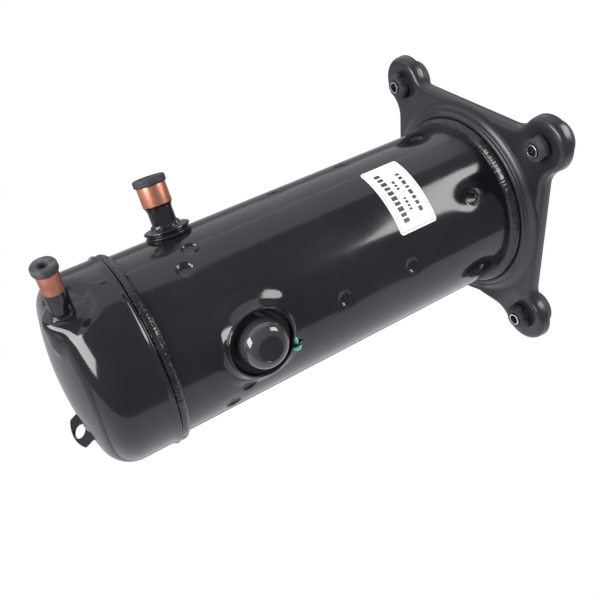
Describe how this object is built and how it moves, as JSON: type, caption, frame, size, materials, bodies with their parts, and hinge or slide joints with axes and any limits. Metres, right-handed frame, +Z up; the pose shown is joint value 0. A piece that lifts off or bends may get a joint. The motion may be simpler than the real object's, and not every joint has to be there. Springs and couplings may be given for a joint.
{
  "type": "hermetic scroll compressor",
  "caption": "Tall welded steel refrigeration compressor on a square four-foot base plate, with side suction and top discharge stubs, a domed terminal cover and an orbiting scroll set inside.",
  "frame": {"origin": "on the shell's axis, on the floor under the rubber feet", "axes": "+Z up the shell axis to the discharge cap; X and Y along the sides of the foot bolt square; terminal cover near +X, suction and discharge stubs near +Y"},
  "size_m": [0.2438, 0.2487, 0.4647],
  "materials": {
    "shell_paint": "gloss black paint",
    "copper": "drawn copper tube, lightly tarnished",
    "rubber": "moulded black rubber",
    "zinc": "bright zinc plating",
    "screw_finish": "mint green coated screw",
    "label": "white printed film",
    "cast_iron": "machined cast iron",
    "steel": "ground steel",
    "lamination": "stacked electrical steel",
    "aluminium": "cast aluminium",
    "bronze": "bearing bronze",
    "winding": "enamelled copper wire, laced",
    "cover_plastic": "glossy black moulded plastic",
    "block_plastic": "matte black moulded plastic",
    "seal_plastic": "filled seal polymer"
  },
  "bodies": {
    "root": {"shell": "shell_paint", "top_cap": "shell_paint", "bottom_cap": "shell_paint", "top_weld_bead": "shell_paint", "base_weld_bead": "shell_paint", "base_plate": "shell_paint", "lifting_lug": "shell_paint", "suction_flange": "shell_paint", "suction_tube": "shell_paint", "discharge_tube": "shell_paint", "terminal_fence": "shell_paint", "terminal_header": "shell_paint", "ground_tab": "shell_paint", "suction_copper_stub": "copper", "discharge_copper_stub": "copper", "grommet_1": "rubber", "grommet_2": "rubber", "grommet_3": "rubber", "grommet_4": "rubber", "ground_screw": "screw_finish", "rating_label": "label", "main_frame": "cast_iron", "lower_frame": "cast_iron", "fixed_scroll": "cast_iron", "separator_plate": "cast_iron", "valve_guard": "steel", "scroll_bolt_1": "steel", "scroll_bolt_2": "steel", "scroll_bolt_3": "steel", "scroll_bolt_4": "steel", "terminal_pin_1": "steel", "terminal_pin_2": "steel", "terminal_pin_3": "steel", "stator_core": "lamination", "main_bearing": "bronze", "lower_bearing": "bronze", "thrust_washer": "bronze", "stator_winding": "winding", "terminal_plug_block": "block_plastic", "motor_cluster_block": "block_plastic", "overload_protector": "block_plastic"},
    "crank": {"crankshaft": "steel", "rotor_core": "lamination", "rotor_cage": "aluminium", "upper_counterweight": "cast_iron", "lower_counterweight": "cast_iron", "drive_bush": "bronze", "oil_pickup": "zinc"},
    "orbiter": {"orbiting_scroll": "cast_iron", "orbiting_bearing": "bronze"},
    "coupling_ring": {"oldham_ring": "aluminium"},
    "discharge_valve": {"discharge_valve_disc": "steel"},
    "seal": {"floating_seal": "seal_plastic"},
    "cover": {"terminal_cover": "cover_plastic"},
    "suction_cap": {"suction_plug": "rubber"},
    "discharge_cap": {"discharge_plug": "rubber"},
    "spacer_1": {"sleeve_1": "zinc"},
    "spacer_2": {"sleeve_2": "zinc"},
    "spacer_3": {"sleeve_3": "zinc"},
    "spacer_4": {"sleeve_4": "zinc"}
  },
  "joints": [
    {"name": "crank_spin", "type": "hinge", "parent": "root", "child": "crank", "pos_m": [0, 0, 0.2], "axis": [0, 0, 1], "continuous": true},
    {"name": "scroll_orbit", "type": "hinge", "parent": "crank", "child": "orbiter", "pos_m": [0.004, 0, 0.336], "axis": [0, 0, 1], "continuous": true},
    {"name": "oldham_slide", "type": "slide", "parent": "root", "child": "coupling_ring", "axis": [1, 0, 0], "range_m": [-0.008, 0]},
    {"name": "valve_lift", "type": "slide", "parent": "root", "child": "discharge_valve", "axis": [0, 0, 1], "range_m": [0, 0.003]},
    {"name": "seal_lift", "type": "slide", "parent": "root", "child": "seal", "axis": [0, 0, 1], "range_m": [0, 0.0014]},
    {"name": "cover_pull", "type": "slide", "parent": "root", "child": "cover", "axis": [0.9659, 0.2588, 0], "range_m": [0, 0.03]},
    {"name": "suction_plug_pull", "type": "slide", "parent": "root", "child": "suction_cap", "axis": [-0.3907, 0.9205, 0], "range_m": [0, 0.03]},
    {"name": "discharge_plug_pull", "type": "slide", "parent": "root", "child": "discharge_cap", "axis": [0.055, 0.997, 0.055], "range_m": [0, 0.03]},
    {"name": "sleeve_1_lift", "type": "slide", "parent": "root", "child": "spacer_1", "axis": [0, 0, 1], "range_m": [0, 0.045]},
    {"name": "sleeve_2_lift", "type": "slide", "parent": "root", "child": "spacer_2", "axis": [0, 0, 1], "range_m": [0, 0.045]},
    {"name": "sleeve_3_lift", "type": "slide", "parent": "root", "child": "spacer_3", "axis": [0, 0, 1], "range_m": [0, 0.045]},
    {"name": "sleeve_4_lift", "type": "slide", "parent": "root", "child": "spacer_4", "axis": [0, 0, 1], "range_m": [0, 0.045]}
  ],
  "couplings": [
    {"joint": "scroll_orbit", "follows": "crank_spin", "ratio": -1}
  ]
}
